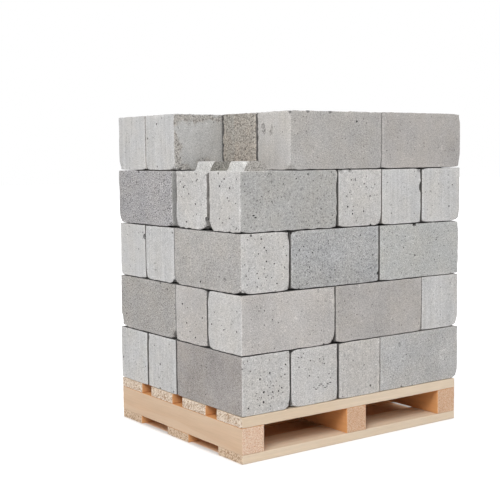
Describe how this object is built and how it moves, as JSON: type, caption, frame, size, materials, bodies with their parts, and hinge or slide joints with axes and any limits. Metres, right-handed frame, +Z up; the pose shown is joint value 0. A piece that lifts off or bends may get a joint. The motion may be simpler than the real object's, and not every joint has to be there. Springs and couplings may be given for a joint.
{
  "type": "pallet of concrete blocks",
  "caption": "Dry stack of studded interlocking concrete blocks in bonded courses on a small wooden stringer pallet, with one block left out at a top corner.",
  "frame": {"origin": "middle of the bounding box, on the floor under the pallet", "axes": "+Z up, +X to the right along the pallet's boards, +Y to the back along its stringers"},
  "size_m": [0.0884, 0.0706, 0.1005],
  "materials": {
    "concrete": "matt cast concrete, pale grey, with fine pores",
    "pine": "raw sawn pine"
  },
  "bodies": {
    "root": {"bottom_board_back": "pine", "bottom_board_front": "pine", "bottom_board_middle": "pine", "course_1_block_a": "concrete", "course_1_block_b": "concrete", "course_1_block_c": "concrete", "course_1_block_d": "concrete", "course_1_block_e": "concrete", "course_1_block_f": "concrete", "course_1_block_g": "concrete", "course_1_block_h": "concrete", "course_1_block_i": "concrete", "course_1_block_j": "concrete", "course_2_block_a": "concrete", "course_2_block_b": "concrete", "course_2_block_c": "concrete", "course_2_block_d": "concrete", "course_2_block_e": "concrete", "course_2_block_f": "concrete", "course_2_block_g": "concrete", "course_2_block_h": "concrete", "course_2_block_i": "concrete", "course_2_block_j": "concrete", "course_3_block_a": "concrete", "course_3_block_b": "concrete", "course_3_block_c": "concrete", "course_3_block_d": "concrete", "course_3_block_e": "concrete", "course_3_block_f": "concrete", "course_3_block_g": "concrete", "course_3_block_h": "concrete", "course_3_block_i": "concrete", "course_3_block_j": "concrete", "course_4_block_a": "concrete", "course_4_block_b": "concrete", "course_4_block_c": "concrete", "course_4_block_d": "concrete", "course_4_block_e": "concrete", "course_4_block_f": "concrete", "course_4_block_g": "concrete", "course_4_block_h": "concrete", "course_4_block_i": "concrete", "course_4_block_j": "concrete", "course_5_block_b": "concrete", "course_5_block_c": "concrete", "course_5_block_d": "concrete", "course_5_block_e": "concrete", "course_5_block_f": "concrete", "course_5_block_g": "concrete", "course_5_block_h": "concrete", "course_5_block_i": "concrete", "course_5_block_j": "concrete", "deck_board_1": "pine", "deck_board_2": "pine", "deck_board_3": "pine", "deck_board_4": "pine", "stringer_left": "pine", "stringer_middle": "pine", "stringer_right": "pine"}
  },
  "joints": []
}
